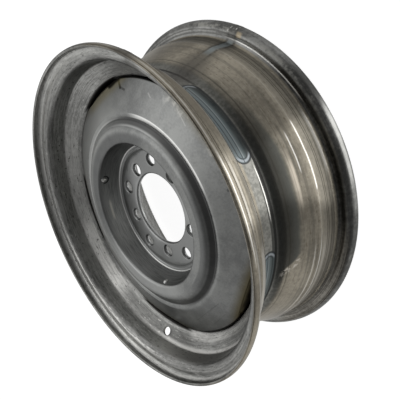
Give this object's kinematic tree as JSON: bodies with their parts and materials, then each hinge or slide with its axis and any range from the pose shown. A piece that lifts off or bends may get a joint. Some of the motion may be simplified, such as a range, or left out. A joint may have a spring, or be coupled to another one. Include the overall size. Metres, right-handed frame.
{
  "type": "steel wheel rim",
  "caption": "Bare steel road wheel with a smooth pressed centre, raised crown, dual lug circles and a rolled drop-centre rim that takes a tubeless tyre.",
  "frame": {"origin": "centre of the hub face, the inboard face of the disc's pad, on the axle line", "axes": "+Z along the axle towards the outboard face; the wheel stands on its inboard lip; +X through a lug hole of the smaller circle"},
  "size_m": [0.4148, 0.4146, 0.1686],
  "materials": {
    "rim_steel": "bare rolled steel with roll marks and weld heat tint",
    "disc_steel": "bare pressed steel, satin",
    "weld_steel": "arc weld bead, oxidised"
  },
  "bodies": {
    "root": {"rim": "rim_steel", "centre_disc": "disc_steel", "disc_weld_1": "weld_steel", "disc_weld_2": "weld_steel", "disc_weld_3": "weld_steel", "disc_weld_4": "weld_steel", "disc_weld_5": "weld_steel"}
  },
  "joints": []
}
